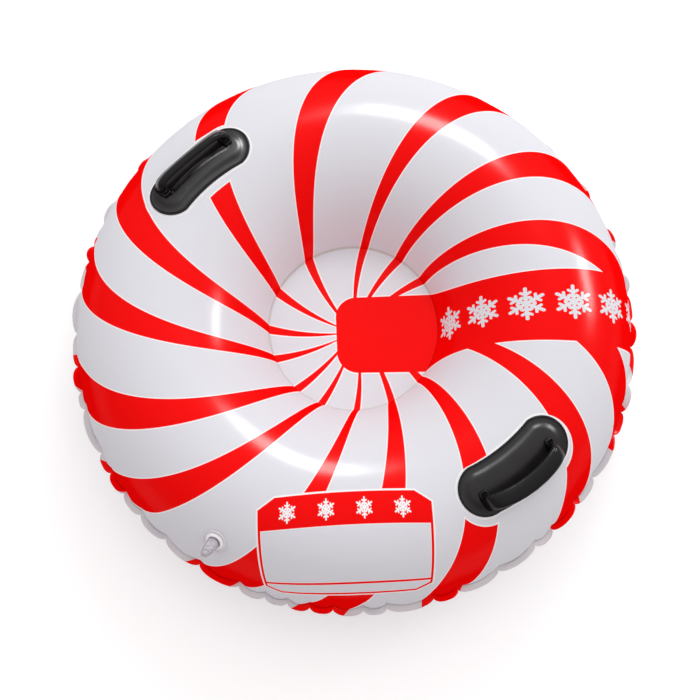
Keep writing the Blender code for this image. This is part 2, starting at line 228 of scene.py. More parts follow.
class Wire:
    """One socket of a material. Arithmetic on it adds Math nodes."""

    def __init__(self, tree, socket=None):
        self.tree = tree
        self.socket = socket

    def node(self, kind, settings, inputs, output=0):
        """Any node: its settings are made first, then its sockets get values or links."""
        node = self.tree.nodes.new(kind)
        for name, value in settings.items():
            setattr(node, name, value)
        for place, value in inputs.items():
            if isinstance(value, Wire):
                self.tree.links.new(value.socket, node.inputs[place])
            else:
                node.inputs[place].default_value = value
        return Wire(self.tree, node.outputs[output] if node.outputs else None)

    def maths(self, operation, *values):
        return self.node("ShaderNodeMath", {"operation": operation}, dict(enumerate(values)))

    def __add__(self, other):
        return self.maths("ADD", self, other)

    def __radd__(self, other):
        return self.maths("ADD", other, self)

    def __sub__(self, other):
        return self.maths("SUBTRACT", self, other)

    def __rsub__(self, other):
        return self.maths("SUBTRACT", other, self)

    def __mul__(self, other):
        return self.maths("MULTIPLY", self, other)

    def __rmul__(self, other):
        return self.maths("MULTIPLY", other, self)

    def __truediv__(self, other):
        return self.maths("DIVIDE", self, other)

    def __neg__(self):
        return self.maths("MULTIPLY", self, -1)

    def __abs__(self):
        return self.maths("ABSOLUTE", self)

    def below(self, *others):
        """The lowest of these values."""
        result = self
        for other in others:
            result = result.maths("MINIMUM", result, other)
        return result

    def above(self, *others):
        """The highest of these values."""
        result = self
        for other in others:
            result = result.maths("MAXIMUM", result, other)
        return result

    def inside(self, soft):
        """1 where this distance is positive, 0 where it is negative, soft at the edge."""
        return (self / soft + 0.5).above(0).below(1)

    def mix(self, off, on):
        """The colour off where this mask is 0, and on where it is 1."""
        return self.node("ShaderNodeMix", {"data_type": "RGBA"}, {0: self, 6: off, 7: on}, 2)

    def vector(self, operation, *values, output=0):
        """A Vector Math node. Its output 1 is a number."""
        return self.node("ShaderNodeVectorMath", {"operation": operation},
                         dict(enumerate(values)), output)

    def pair(self, x, y):
        """The vector of two numbers."""
        return self.node("ShaderNodeCombineXYZ", {}, {0: x, 1: y})

    def attribute(self, name, output=2):
        """What the mesh stores under a name: output 1 is a vector, output 2 a number."""
        return self.node("ShaderNodeAttribute", {"attribute_name": name}, {}, output)


def new_material(name):
    """An empty material, with a wire to start its nodes from."""
    material = bpy.data.materials.new(name)
    material.use_nodes = True
    material.node_tree.nodes.clear()
    return material, Wire(material.node_tree)


def finish_material(wire, shader):
    """Link the shader to the material's output."""
    wire.node("ShaderNodeOutputMaterial", {}, {0: shader})


WHITE = 0.74, 0.755, 0.80, 1
LINE_WHITE = 0.93, 0.93, 0.94, 1
RED = 0.94, 0.002, 0.002, 1
PRINT_TURN = radians(48.95)
EDGE_SOFTNESS = 0.0005
LINE_WIDTH = 0.0020
VINYL_IOR = 1.53
VINYL_GLOSS = 0.05
VINYL_ROUGHNESS = 0.18
INK_ROUGHNESS = 0.02
MATT_ROUGHNESS = 0.6
SHEEN_FROM = 0.28
SHEEN_TO = 0.58
SLANT_BLEND = 0.5
PEEL_SCALE, PEEL_DETAIL, PEEL_SHARE = 260, 3, 0.05
SLACK_SCALE, SLACK_DETAIL = 22, 2
SLACK_RISE = 0.004
SKIN_BUMP = 0.06
# A beige band round the well's ring: partly the weld's own tint, partly painted shade of the
# crease
WELD_AND_CREASE_REACH = RING_RADIUS + 0.0022
WELD_AND_CREASE_HALF = 0.0030
WELD_TINT_AND_CREASE_SHADE = 0.84, 0.81, 0.73, 1
FLOOR_BOW = 0.0023
STRIPE_REACHES = 0.06, 0.14, 0.32, 0.50
DRIFT = 0.007
# Degrees of each stripe's near edge, then of its far edge, at those distances from the middle,
# and how many degrees that edge has drifted from its arc where it meets the rim
STRIPES = (
    ((36.5, 30, 19.2, 1.0, 0), (40.5, 36, 27, 12, 0)),
    ((58.5, 52, 41.5, 26, 0), (64.5, 58, 48.5, 36, 0)),
    ((82, 77.5, 66.5, 51.5, 0), (88, 83, 73, 60.5, 0)),
    ((125.5, 116.5, 99.7, 80.8, 0), (132.5, 123, 109, 91, 0)),
    ((158.5, 148, 133.5, 111.3, 1), (164.5, 154.5, 142, 121.5, 0)),
    ((186, 175.5, 162.5, 140, 2.5), (191.5, 181.5, 170, 152, 0.5)),
    ((207, 197, 185.5, 164.5, 4.6), (211.5, 202.5, 192, 175, 0.5)),
    ((231.5, 223, 211, 190.5, 4.2), (236.5, 228.5, 218, 202, -1)),
    ((251.5, 242.5, 231.5, 215, 1), (255, 247.5, 237, 224.5, -3.3)),
    ((275, 267, 256, 242.5, -1.6), (278, 271.5, 261, 251.5, -3.5)),
    ((299, 291, 277.5, 264, -1), (304, 296, 284.5, 272.7, -0.6)),
    ((323.5, 315.5, 303, 286.5, 3.2), (327, 321, 310.5, 296.5, 0.5)),
    ((352, 344.5, 333, 316.5, 3.4), (358, 350.5, 340, 326, 1)),
    ((11, 5, -5.5, -22.5, 3.2), (17, 11, 2, -12.5, 1.4)),
)
STRIPE_SPREAD = radians(50)
BANNER_START = -0.028
BANNER_TOP = 0.0505
BANNER_BOTTOM = -0.0745
BANNER_WIDENING = 0.0250
BANNER_CORNER = 0.033
FLAKE_ARMS = 6
ARM_SHARE = 1 / 22
TWIG_THICKNESS_SHARE = 0.85
# Where each pair of twigs leaves an arm and how long it is, as shares of the flake's height
TWIG_SHARES = ((0.27, 0.13), (0.14, 0.10))
FLAKE_HEIGHT = 0.064
FLAKE_SPACING = 0.072
FLAKE_START = 0.140
FLAKE_END = 0.572
FLAKE_LINE = -0.012
LABEL_MIDDLE = -0.0303, -0.4275
LABEL_HALF = 0.1515, 0.0861
LABEL_CHAMFER = 0.030, 0.017
LABEL_BORDER = 0.0028
LABEL_OUTLINE = 0.0044
LABEL_HEADER = 0.0360
LABEL_STRIP = -0.0577
LABEL_FLAKE = 0.032
LABEL_FLAKE_SPACING = 0.066
BASE_HALO = 0.0018


def circle_through(a, b, c):
    """Middle and radius of the circle through three places."""
    ab, ac = b - a, c - a
    double_area = 2 * ab.cross(ac)
    middle = a + Vector((ac.y * ab.length_squared - ab.y * ac.length_squared,
                         ab.x * ac.length_squared - ac.x * ab.length_squared)) / double_area
    return middle, (middle - a).length


def past_arc(place, *points):
    """Distance past the arc of a circle through three places."""
    middle, radius = circle_through(*points)
    return place.vector("DISTANCE", place, (*middle, 0), output=1) - radius


def past_edge(place, on_floor, near_rim, edge):
    """Distance past one edge of a stripe: an arc on the floor and another outside it, which
    drifts off near the rim."""
    *angles, drift = edge
    points = [Vector((cos(radians(angle)), sin(radians(angle)))) * reach
              for angle, reach in zip(angles, STRIPE_REACHES)]
    run = (points[1] - points[0]).normalized()
    bowed = points[0].lerp(points[1], 0.5) + Vector((-run.y, run.x)) * FLOOR_BOW
    past_outer = past_arc(place, *points[1:]) - near_rim * (drift * DRIFT)
    past_inner = past_arc(place, points[0], bowed, points[1])
    return past_outer + (past_inner - past_outer) * on_floor


def stripe(place, reach, on_floor, near_rim, near, far):
    """Distance inside one curved stripe, which keeps to its own side of the middle."""
    turn = radians(near[2] + far[2]) / 2
    ahead = place.vector("DOT_PRODUCT", place, (cos(turn), sin(turn), 0), output=1)
    return past_edge(place, on_floor, near_rim, near).below(
        -past_edge(place, on_floor, near_rim, far), ahead - reach * cos(STRIPE_SPREAD))


def banner(x, y):
    """Distance inside the band that starts with round corners in the well and runs to the
    rim. Its lower edge widens a little outwards."""
    bottom = BANNER_BOTTOM - x * BANNER_WIDENING
    half = (BANNER_TOP - bottom) / 2
    aside = abs(y - (BANNER_TOP + bottom) / 2) - (half - BANNER_CORNER)
    short = BANNER_START + BANNER_CORNER - x
    corner = x.pair(short.above(0), aside.above(0))
    return BANNER_CORNER - corner.vector("LENGTH", corner, output=1)


def arm(along, across, start, length, turn, half_width):
    """Distance inside one straight twig of a snowflake, which leaves its arm at a turn."""
    x = along - start
    reach = (x * cos(turn) + across * sin(turn)).above(0).below(length)
    gap = x.pair(x - reach * cos(turn), across - reach * sin(turn))
    return half_width - gap.vector("LENGTH", gap, output=1)


def snowflake(x, y, height):
    """Distance inside a plain six-armed snowflake round x, y = 0. The plane is folded into
    half an arm's sector, so one arm with its twigs draws all of them."""
    length = x.maths("SQRT", x * x + y * y)
    sector = abs(x.maths("PINGPONG", x.maths("ARCTAN2", x, y), pi / FLAKE_ARMS))
    along, across = length * x.maths("COSINE", sector), length * x.maths("SINE", sector)
    thick = height * ARM_SHARE
    trunk = arm(along, across, 0, height / 2 - thick, 0, thick)
    twigs = [arm(along, across, height * start, height * reach, tau / FLAKE_ARMS,
                 thick * TWIG_THICKNESS_SHARE) for start, reach in TWIG_SHARES]
    return trunk.above(*twigs)


def repeat(along, spacing):
    """Distance from the middle of the step of a row that a place falls in."""
    return along.maths("FLOORED_MODULO", along, spacing) - spacing / 2


def label_panel(x, y):
    """Distance inside the chamfered panel, and the height on it."""
    across = abs(x - LABEL_MIDDLE[0])
    up = y - LABEL_MIDDLE[1]
    cut = Vector((LABEL_CHAMFER[1], LABEL_CHAMFER[0])).normalized()
    reach = cut.x * (LABEL_HALF[0] - LABEL_CHAMFER[0]) + cut.y * LABEL_HALF[1]
    inside = (LABEL_HALF[0] - across).below(LABEL_HALF[1] - abs(up),
                                            reach - (across * cut.x + abs(up) * cut.y))
    return inside, up


def printed_colour(wire):
    """The print: red stripes, banner and label panel, each with a thin line of pure white
    round it, on the vinyl's own greyer white. Also gives where it is red. A beige band round
    the well's ring darkens it: partly the weld's own tint, partly painted shade of the crease."""
    place = wire.attribute("print_place", 1)
    parts = wire.node("ShaderNodeSeparateXYZ", {}, {0: place})
    x, y = parts, Wire(wire.tree, parts.socket.node.outputs[1])
    reach = place.vector("LENGTH", place, output=1)
    on_floor = reach.maths("LESS_THAN", reach, STRIPE_REACHES[1])
    past_last = (reach - STRIPE_REACHES[3]).above(0) / (FLAT_RIM - STRIPE_REACHES[3])
    near_rim = past_last * past_last
    red = banner(x, y)
    for near, far in STRIPES:
        red = red.above(stripe(place, reach, on_floor, near_rim, near, far))
    red = red.below(wire.attribute("blank_edge"))
    halo = BASE_HALO - abs(wire.attribute("base_edge") - BASE_HALO)
    line = (red + LINE_WIDTH).above(halo).inside(EDGE_SOFTNESS)
    row = (x - FLAKE_START).below(FLAKE_END - x)
    flake = snowflake(repeat(x - FLAKE_START, FLAKE_SPACING), y - FLAKE_LINE,
                      FLAKE_HEIGHT).below(row)
    panel, up = label_panel(x, y)
    header_line = (LABEL_HEADER + LABEL_HALF[1] - LABEL_BORDER) / 2
    small_flake = snowflake(repeat(x - LABEL_MIDDLE[0], LABEL_FLAKE_SPACING), up - header_line,
                            LABEL_FLAKE)
    cell = (panel - LABEL_BORDER - LABEL_OUTLINE).below(
        LABEL_HEADER - up, abs(up - LABEL_STRIP) - LABEL_OUTLINE / 2)
    colour = line.mix(WHITE, LINE_WHITE)
    colour = red.inside(EDGE_SOFTNESS).mix(colour, RED)
    colour = flake.inside(EDGE_SOFTNESS).mix(colour, WHITE)
    colour = panel.inside(EDGE_SOFTNESS).mix(colour, LINE_WHITE)
    colour = (panel - LABEL_BORDER).inside(EDGE_SOFTNESS).mix(colour, RED)
    small_flake = small_flake.below(panel - LABEL_BORDER)
    colour = cell.above(small_flake).inside(EDGE_SOFTNESS).mix(colour, LINE_WHITE)
    colour = (cell - LINE_WIDTH / 2).inside(EDGE_SOFTNESS).mix(colour, WHITE)
    # Beige band at the well's ring: the weld's own tint and painted shade of the crease
    fused = (WELD_AND_CREASE_HALF - abs(reach - WELD_AND_CREASE_REACH)).inside(WELD_AND_CREASE_HALF)
    shaded = fused.node("ShaderNodeMix", {"data_type": "RGBA", "blend_type": "MULTIPLY"},
                        {0: fused, 6: colour, 7: WELD_TINT_AND_CREASE_SHADE}, 2)
    return shaded, red.inside(EDGE_SOFTNESS)


def object_noise(wire, scale, detail):
    """Noise that stays with the piece."""
    place = wire.node("ShaderNodeTexCoord", {}, {}, 3)
    return wire.node("ShaderNodeTexNoise", {}, {0: place, 2: scale, 3: detail})


def vinyl_bump(wire, strength):
    """The faint orange peel and slack of calendered vinyl."""
    peel = object_noise(wire, PEEL_SCALE, PEEL_DETAIL)
    slack = object_noise(wire, SLACK_SCALE, SLACK_DETAIL)
    return wire.node("ShaderNodeBump", {}, {
        0: strength, 1: SLACK_RISE, 3: peel * PEEL_SHARE + slack})


def printed_vinyl():
    """Glossy printed vinyl, whose sheen fades where it is seen at a slant."""
    material, wire = new_material("printed vinyl")
    colour, inked = printed_colour(wire)
    normal = vinyl_bump(wire, SKIN_BUMP)
    gloss = wire.node("ShaderNodeBsdfPrincipled", {}, {
        "Base Color": colour, "Roughness": VINYL_ROUGHNESS + inked * INK_ROUGHNESS,
        "IOR": VINYL_IOR, "Specular IOR Level": VINYL_GLOSS, "Normal": normal})
    matt = wire.node("ShaderNodeBsdfPrincipled", {}, {
        "Base Color": colour, "Roughness": MATT_ROUGHNESS, "Specular IOR Level": 0,
        "Normal": normal})
    slant = wire.node("ShaderNodeLayerWeight", {}, {0: SLANT_BLEND}, 1)
    fade = ((slant - SHEEN_FROM) / (SHEEN_TO - SHEEN_FROM)).above(0).below(1)
    finish_material(wire, wire.node("ShaderNodeMixShader", {}, {0: fade, 1: gloss, 2: matt}))
    return material


# The radius and the angle round the tube at which each grip's middle stands
GRIP_SIDES = {"right": (RADII[CREST] + 0.041, 0.0),
              "left": (RADII[CREST] + 0.025, radians(184.5))}
GRIP_TWIST = radians(5)
BASE_SPINE = 0.056
BASE_HALF_WIDTHS = {"right": 0.0385, "left": 0.0355}
BASE_BOW = 0.006
# The print leaves each base a blank: its room round the base, and its shift along and across
PRINT_BLANKS = {"right": (0.0075, -0.0026, 0.0052), "left": (0.0110, 0.0, -0.0034)}
OTHER_SIDE = 1.0


def past_bean(point, side, shift_along=0, shift_across=0):
    """How far a point lies outside a grip base's outline, seen from above."""
    radius, angle = GRIP_SIDES[side]
    x = point[0] * cos(angle) + point[1] * sin(angle) - radius
    y = point[1] * cos(angle) - point[0] * sin(angle)
    along = y * cos(GRIP_TWIST) + x * sin(GRIP_TWIST) - shift_along
    across = x * cos(GRIP_TWIST) - y * sin(GRIP_TWIST) - shift_across
    if x < -radius:
        return OTHER_SIDE
    across += BASE_BOW * min(1, (along / BASE_SPINE) ** 2)
    return hypot(max(abs(along) - BASE_SPINE, 0), across) - BASE_HALF_WIDTHS[side]


def mark_print(mesh, flat_reach):
    """Store where each point lay in the flat print, and how far it is from the grips."""
    places, blanks, bases = [], [], []
    for vertex, reach in zip(mesh.vertices, flat_reach):
        x, y, _ = vertex.co
        flat = (Matrix.Rotation(-PRINT_TURN, 2) @ Vector((x, y))).normalized() * reach
        places += [flat.x, flat.y, 0]
        blanks.append(min(past_bean((x, y), side, *shift) - room
                          for side, (room, *shift) in PRINT_BLANKS.items()))
        bases.append(min(past_bean((x, y), side) for side in PRINT_BLANKS))
    mesh.attributes.new("print_place", "FLOAT_VECTOR", "POINT").data.foreach_set("vector", places)
    mesh.attributes.new("blank_edge", "FLOAT", "POINT").data.foreach_set("value", blanks)
    mesh.attributes.new("base_edge", "FLOAT", "POINT").data.foreach_set("value", bases)


top_mesh = sheet_mesh("top_sheet_skin")
reaches = [FLAT_RIM - arc for arc in skin_rows()] + floor_rows()
mark_print(top_mesh, [reach for reach in reaches for _ in COLUMNS] + [0])
PRINTED = printed_vinyl()
add_piece("top_sheet_skin", top_mesh, PRINTED, "tube", "printed_vinyl", "top_sheet")

# Bottom sheet
# The same disc of white vinyl without a print, mirrored below the seam. Air pulls it smooth
# as well, but it is flat where it stands.
PLAIN_WHITE = 0.72, 0.73, 0.77, 1
PLAIN_ROUGHNESS = 0.28
PLAIN_BUMP = 0.1


def plain_vinyl():
    """The vinyl's own white with no print on it."""
    material, wire = new_material("plain vinyl")
    finish_material(wire, wire.node("ShaderNodeBsdfPrincipled", {}, {
        "Base Color": PLAIN_WHITE, "Roughness": PLAIN_ROUGHNESS, "IOR": VINYL_IOR,
        "Specular IOR Level": VINYL_GLOSS, "Normal": vinyl_bump(wire, PLAIN_BUMP)}))
    return material


bottom_mesh = sheet_mesh("bottom_sheet_skin", -1)
bottom_mesh.flip_normals()
for vertex in bottom_mesh.vertices:
    vertex.co.z = max(vertex.co.z, 0)
PLAIN = plain_vinyl()
add_piece("bottom_sheet_skin", bottom_mesh, PLAIN, "tube", "plain_vinyl", "bottom_sheet")

# Rim weld
# The two sheets fused outside the rim, gathered into round puckers that bend up and down by
# turns. The print runs on over it, and where it is bare the fused vinyl is half clear.
FLANGE = 0.012
NOTCH_SHARE = 0.50
DRAWN_SHARE = 0.5
FLANGE_ROWS = 7
FLANGE_BEND = radians(34)
BEND_AT_SEAM_SHARE = 0.6
WELD = 0.0012
BARE_VINYL = 0.82, 0.79, 0.81, 1
BARE_CLEARNESS = 0.10
BARE_GLOW = 0.18
WELD_ROUGHNESS = 0.22
WELD_BUMP = 0.15


def flange_point(share, column):
    """A point of the flange, at a share of the way from the seam to its edge."""
    angle, swell, bend, _ = column
    out, up = gathered(0, column)
    notch = NOTCH_SHARE * (1 - sqrt(abs(swell)))
    width = (FLANGE * (1 - notch) - out * DRAWN_SHARE) * share
    tilt = FLANGE_BEND * bend * swell * (BEND_AT_SEAM_SHARE + (1 - BEND_AT_SEAM_SHARE) * share)
    radius = RIM_RADIUS + out + width * cos(tilt)
    return (radius * cos(angle), radius * sin(angle), SEAM_HEIGHT + up + width * sin(tilt))


def welded_vinyl():
    """Printed red vinyl where the print runs on, and half clear vinyl where it doesn't."""
    material, wire = new_material("welded vinyl")
    colour, inked = printed_colour(wire)
    bare = 1 - inked
    skin = wire.node("ShaderNodeBsdfPrincipled", {}, {
        "Base Color": bare.mix(colour, BARE_VINYL), "Roughness": WELD_ROUGHNESS,
        "IOR": VINYL_IOR, "Specular IOR Level": VINYL_GLOSS,
        "Alpha": 1 - bare * BARE_CLEARNESS, "Normal": vinyl_bump(wire, WELD_BUMP)})
    through = wire.node("ShaderNodeBsdfTranslucent", {}, {0: BARE_VINYL})
    finish_material(wire, wire.node("ShaderNodeMixShader", {}, {
        0: bare * BARE_GLOW, 1: skin, 2: through}))
    return material


shares = [i / (FLANGE_ROWS - 1) for i in range(FLANGE_ROWS)]
flange_mesh = grid_mesh("rim_flange", [[flange_point(share, column) for column in COLUMNS]
                                       for share in shares[::-1]])
mark_print(flange_mesh, [FLAT_RIM + FLANGE * share for share in shares[::-1] for _ in COLUMNS])
WELDED = welded_vinyl()
flange = add_piece("rim_flange", flange_mesh, WELDED, "tube", "welded_vinyl", "rim_weld")
wall = flange.modifiers.new("fused thickness", "SOLIDIFY")
wall.thickness = WELD
wall.offset = 0

# Well weld
# The ring where the two sheets are fused round the floor. It lies between them and is of
# the same vinyl, so the solid itself gets the plain sheet's finish.


def finish_solid(node, material):
    """Give a CAD solid that shows as it is one of the scene's materials."""
    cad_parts[node].data.materials.clear()
    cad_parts[node].data.materials.append(material)


finish_solid("well_weld", PLAIN)

# Grip bases
# Bean-shaped black mouldings welded to the skin: a thin skirt with a bead at its edge round
# a raised pad. The beads are glossier than the rest.
CLEARANCE = 0.0003
# Insets from the outline and rises over the skin, from the bead to the middle of the pad
BASE_PROFILE = (
    (0.0, 0.0), (0.0, 0.0012), (0.0006, 0.0020), (0.0016, 0.0024), (0.0028, 0.0021),
    (0.0038, 0.0014), (0.0060, 0.0012), (0.0100, 0.0012), (0.0118, 0.0015),
    (0.0138, 0.0022), (0.0158, 0.0029), (0.0178, 0.0034), (0.0200, 0.0036),
    (0.0300, 0.0036), (0.0370, 0.0036),
)
BEAD_RINGS = 5
LOBE_STEPS = 40
SIDE_STEPS = 30
MOULDING_IOR = 1.5
CLOUD_SCALE, CLOUD_DETAIL, CLOUD_ROUGHNESS = 45, 4, 0.1
GRAIN_SCALE, GRAIN_DETAIL, GRAIN_SHARE = 900, 2, 0.4
MOULDING_RISE = 0.001


def on_skin(x, y, rise):
    """The point that stands a rise over the skin of the top sheet, square to it, seen from
    above at x, y. It holds between the well and the rim."""
    distance = hypot(x, y)
    if distance < RADII[CREST]:
        height, lean = [float(numpy.interp(-distance, -RADII[CREST:], values[CREST:]))
                        for values in (HEIGHTS, LEANS)]
    else:
        height, lean = [float(numpy.interp(distance, RADII[CREST::-1], values[CREST::-1]))
                        for values in (HEIGHTS, LEANS)]
    square = Vector((cos(lean) * x / distance, cos(lean) * y / distance, sin(lean)))
    return Vector((x, y, SEAM_HEIGHT + SHEET_LIFT + height)) + square * rise


def grip_point(side, along, across, rise):
    """A point of a grip: along it, outwards across it, and over the skin."""
    radius, angle = GRIP_SIDES[side]
    x = radius + across * cos(GRIP_TWIST) + along * sin(GRIP_TWIST)
    y = along * cos(GRIP_TWIST) - across * sin(GRIP_TWIST)
    return Matrix.Rotation(angle, 3, "Z") @ on_skin(x, y, rise)


def bean_ring(side, half_width, rise):
    """One closed row of points round a grip's base."""
    stations = []
    for i in range(LOBE_STEPS):
        stations.append((BASE_SPINE, -pi / 2 + pi * i / LOBE_STEPS))
    for i in range(SIDE_STEPS):
        stations.append((BASE_SPINE * (1 - 2 * i / SIDE_STEPS), pi / 2))
    stations += [(-spine, turn + pi) for spine, turn in stations]
    return [grip_point(side, spine + half_width * cos(turn),
                       half_width * sin(turn) - BASE_BOW * (spine / BASE_SPINE) ** 2, rise)
            for spine, turn in stations]


def black_moulding(name, dark, light, roughness, bump, gloss):
    """Soft black moulding: faintly cloudy, with a fine grain."""
    material, wire = new_material(name)
    cloud = object_noise(wire, CLOUD_SCALE, CLOUD_DETAIL)
    grain = object_noise(wire, GRAIN_SCALE, GRAIN_DETAIL)
    finish_material(wire, wire.node("ShaderNodeBsdfPrincipled", {}, {
        "Base Color": cloud.mix(dark, light),
        "Roughness": roughness + cloud * CLOUD_ROUGHNESS,
        "IOR": MOULDING_IOR, "Specular IOR Level": gloss,
        "Normal": wire.node("ShaderNodeBump", {}, {
            0: bump, 1: MOULDING_RISE, 3: grain * GRAIN_SHARE + cloud})}))
    return material


SOFT_BLACK = black_moulding(
    "soft black moulding", dark=(0.007, 0.006, 0.006, 1), light=(0.013, 0.011, 0.011, 1),
    roughness=0.24, bump=0.08, gloss=0.32)
GLOSS_BLACK = black_moulding(
    "gloss black moulding", dark=(0.003, 0.003, 0.004, 1), light=(0.007, 0.007, 0.008, 1),
    roughness=0.09, bump=0.03, gloss=0.24)
for side in GRIP_SIDES:
    rings = [bean_ring(side, BASE_HALF_WIDTHS[side] - inset, CLEARANCE + rise)
             for inset, rise in BASE_PROFILE]
    mesh = grid_mesh(f"{side}_base", rings)
    shape = bmesh.new()
    shape.from_mesh(mesh)
    bmesh.ops.holes_fill(shape, edges=[edge for edge in shape.edges if edge.is_boundary
                                       and edge.verts[0].index >= len(rings[0])])
    shape.to_mesh(mesh)
    shape.free()
    base = add_piece(f"{side}_base", mesh, SOFT_BLACK, "tube", "black_moulding",
                     f"{side}_grip_base")
    base.data.materials.append(GLOSS_BLACK)
    for face in mesh.polygons[:BEAD_RINGS * len(rings[0])]:
        face.material_index = 1

# Grips
# Each is a glossy black moulded bar on two flared feet, bowed outwards over its base. The
# feet stand on small blocks of the base, and the left bar is pressed down and outwards.
BAR_OUTS = {"right": 0.0185, "left": 0.0110}
BAR_RISES = {"right": 0.0235, "left": 0.0180}
BAR_ROLLS = {"right": 0.0, "left": radians(45)}
BAR_WIDTH = 0.0200
BAR_DEPTH = 0.011
BAR_RINGS = 65
BAR_SIDES = 32
PAD = 0.0036
ARCH_SQUARENESS = 4.6
BAR_SQUARENESS = 3.2
FOOT_REACH = 0.0620
FOOT_OUT = 0.009
FOOT_FLARE = 0.004
FOOT_IN = 0.0035
FOOT_HALF = 0.0070, 0.0125
FOOT_SQUARENESS = 6.0
# Insets from a block's outline and rises over its base, up its side and over its lip
FOOT_PROFILE = ((0, 0), (0, 0.0036), (0.0004, 0.0045), (0.0012, 0.0050), (0.0024, 0.0050),
                (0.0030, 0.0042), (0.0046, 0.0040))


def squared(value, squareness):
    """Pushes a circle's sine or cosine out towards a square with round corners."""
    return copysign(abs(value) ** (2 / squareness), value)


def bar_mesh(side):
    """A bar swept along a squared arch, with its two foot blocks."""
    seat = CLEARANCE + PAD + CLEARANCE
    bar_rise = BAR_RISES[side]
    route = []
    for i in range(BAR_RINGS):
        turn = pi * (1 - i / (BAR_RINGS - 1))
        along = squared(cos(turn), ARCH_SQUARENESS) * FOOT_REACH
        lift = squared(max(sin(turn), 0), ARCH_SQUARENESS) * bar_rise
        route.append(Vector((along, lift)))
    route[-1].y = 0
    rings = []
    for i, (along, lift) in enumerate(route):
        run = (route[min(i + 1, BAR_RINGS - 1)] - route[max(i - 1, 0)]).normalized()
        if i in (0, BAR_RINGS - 1):
            run = Vector((0, copysign(1, -along)))
        flare = FOOT_FLARE * max(0, 1 - lift / (bar_rise / 2)) ** 2
        middle = FOOT_OUT + (BAR_OUTS[side] - FOOT_OUT) * (1 - (along / FOOT_REACH) ** 2)
        roll = BAR_ROLLS[side] * lift / bar_rise
        ring = []
        for k in range(BAR_SIDES):
            turn = tau * (k + 0.5) / BAR_SIDES
            wide = (BAR_WIDTH / 2 + flare) * squared(cos(turn), BAR_SQUARENESS)
            deep = (BAR_DEPTH / 2 + flare) * squared(sin(turn), BAR_SQUARENESS)
            across = middle + wide * cos(roll) + deep * sin(roll)
            deep = deep * cos(roll) - wide * sin(roll)
            ring.append(grip_point(side, along - deep * run.y, across, seat + lift + deep * run.x))
        rings.append(ring)
    parts = [grid_mesh(f"{side}_bar", rings)] + [foot_block(side, end) for end in (-1, 1)]
    return joined(parts)


def foot_block(side, end):
    """The boxy block with a raised lip that a bar's foot stands on."""
    middle = Vector((end * FOOT_REACH, FOOT_OUT - FOOT_IN))
    rings = []
    for inset, rise in FOOT_PROFILE:
        ring = []
        for k in range(BAR_SIDES):
            turn = tau * (k + 0.5) / BAR_SIDES
            along = (FOOT_HALF[0] - inset) * squared(cos(turn), FOOT_SQUARENESS)
            across = (FOOT_HALF[1] - inset) * squared(sin(turn), FOOT_SQUARENESS)
            ring.append(grip_point(side, middle.x + along, middle.y + across,
                                   CLEARANCE + PAD + rise))
        rings.append(ring)
    top = grip_point(side, *middle, CLEARANCE + PAD + FOOT_PROFILE[-1][1])
    return grid_mesh("foot_block", rings, top)


def joined(meshes):
    """The first mesh with the others added to it and its open ends closed."""
    shape = bmesh.new()
    for mesh in meshes:
        shape.from_mesh(mesh)
    bmesh.ops.holes_fill(shape, edges=[edge for edge in shape.edges if edge.is_boundary])
    bmesh.ops.recalc_face_normals(shape, faces=shape.faces)
    shape.to_mesh(meshes[0])
    shape.free()
    return meshes[0]


for side in GRIP_SIDES:
    add_piece(f"{side}_bar", bar_mesh(side), GLOSS_BLACK, "tube", "black_moulding",
              f"{side}_grip")

# Air valve
# A clear soft moulding welded over a hole in the skin: a flat flange with a collar, the
# blowing stem that sinks into it, the plug on its strap, and the flap inside.
VALVE_FROM_RIM = 0.1005
VALVE_ANGLE = radians(-73.5)
SKIN_HOLE = 0.0134
LATHE_STEPS = 64
SOFT_CORNER = 0.0004
CORNER_STEPS = 3
FLANGE_RADIUS = 0.019
FLANGE_PLATE = 0.0012
DISC_BEAD = 0.0016
COLLAR_WALL = 0.0018
COLLAR_HEIGHT = 0.0040
COLLAR_LIP = 0.0010
COLLAR_SLOPE = 0.0024
STEM_ROOT_RADIUS = 0.0096
STEM_ROOT_HEIGHT = 0.0080
STEM_RADIUS = 0.0070
STEM_BORE = 0.0045
STEM_HEIGHT = 0.0300
STEM_TAIL = 0.0060
STEM_LIP = 0.0012
STEM_LIP_REACH = 0.0030
# How far up the stem its painted shade reaches
PAINTED_SHADE_HEIGHT = 0.0085
PLUG_DEPTH = 0.0095
PLUG_CAP_RADIUS = 0.0064
PLUG_CAP_HEIGHT = 0.0070
PLUG_TIP_RADIUS = 0.0038
STRAP_WALL = 0.0011
STRAP_WIDTH = 0.0042
STRAP_RING_HEIGHT = 0.0022
STRAP_RING_DROP = 0.0090
STRAP_STAND_OFF = 0.0022
STRAP_SIDES = 12
STRAP_STEPS = 5
CORNER_CUT = 0.25
STREAK_AND_GLINT_SCALE, STREAK_AND_GLINT_DETAIL, STREAK_ROUGHNESS = 260, 3, 0.08
STREAK_BUMP = 0.1


def clear_moulding(name, dark, light, roughness, clearness):
    """The valve's soft moulding, from clear to chalky. Noise mottles its colour from a dark
    to a light tone: a faint random tone, and where the two are far apart, painted refraction
    and glints.
    """
    material, wire = new_material(name)
    streak_and_glint = object_noise(wire, STREAK_AND_GLINT_SCALE, STREAK_AND_GLINT_DETAIL)
    finish_material(wire, wire.node("ShaderNodeBsdfPrincipled", {}, {
        "Base Color": streak_and_glint.mix(dark, light),
        "Roughness": roughness + streak_and_glint * STREAK_ROUGHNESS,
        "IOR": MOULDING_IOR, "Transmission Weight": clearness,
        "Normal": wire.node("ShaderNodeBump", {}, {
            0: STREAK_BUMP, 1: MOULDING_RISE, 3: streak_and_glint})}))
    return material
